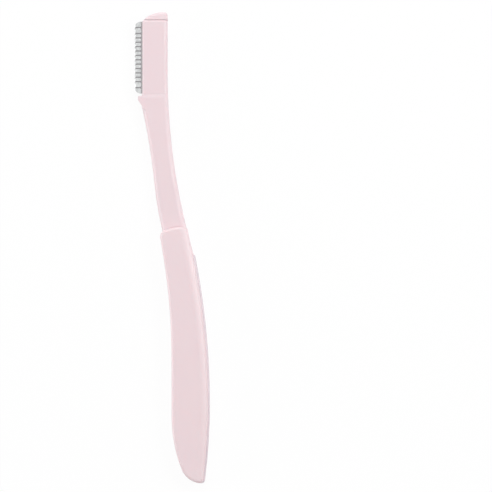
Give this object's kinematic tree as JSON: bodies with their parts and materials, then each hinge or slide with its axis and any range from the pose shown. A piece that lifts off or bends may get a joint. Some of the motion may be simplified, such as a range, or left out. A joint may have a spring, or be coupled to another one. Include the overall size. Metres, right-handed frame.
{
  "type": "folding eyebrow razor",
  "caption": "Slim folding eyebrow razor: a curved arm with a comb-guarded steel blade swings about a hidden pin into the slotted side of a bowed plastic handle.",
  "frame": {"origin": "on the pivot pin's axis, in the plane of the rear face that the razor lies on", "axes": "+Y from the pivot towards the head, +Z out of the front face, +X to the right seen from the front"},
  "size_m": [0.024, 0.1506, 0.008],
  "materials": {
    "handle_plastic": "satin pale pink moulding",
    "arm_plastic": "satin pale pink moulding",
    "blade_steel": "ground stainless strip",
    "guard_steel": "stamped stainless sheet",
    "pin_steel": "plain drawn wire"
  },
  "bodies": {
    "handle": {"front_scale": "handle_plastic", "rear_scale": "handle_plastic", "spine": "handle_plastic", "pivot_pin": "pin_steel"},
    "arm": {"blade_arm": "arm_plastic", "blade": "blade_steel", "blade_guard": "guard_steel", "blade_cover": "arm_plastic"}
  },
  "joints": [
    {"name": "arm_fold", "type": "hinge", "parent": "handle", "child": "arm", "pos_m": [0, 0, 0.004], "axis": [0, 0, 1], "range_deg": [0, 175]}
  ]
}
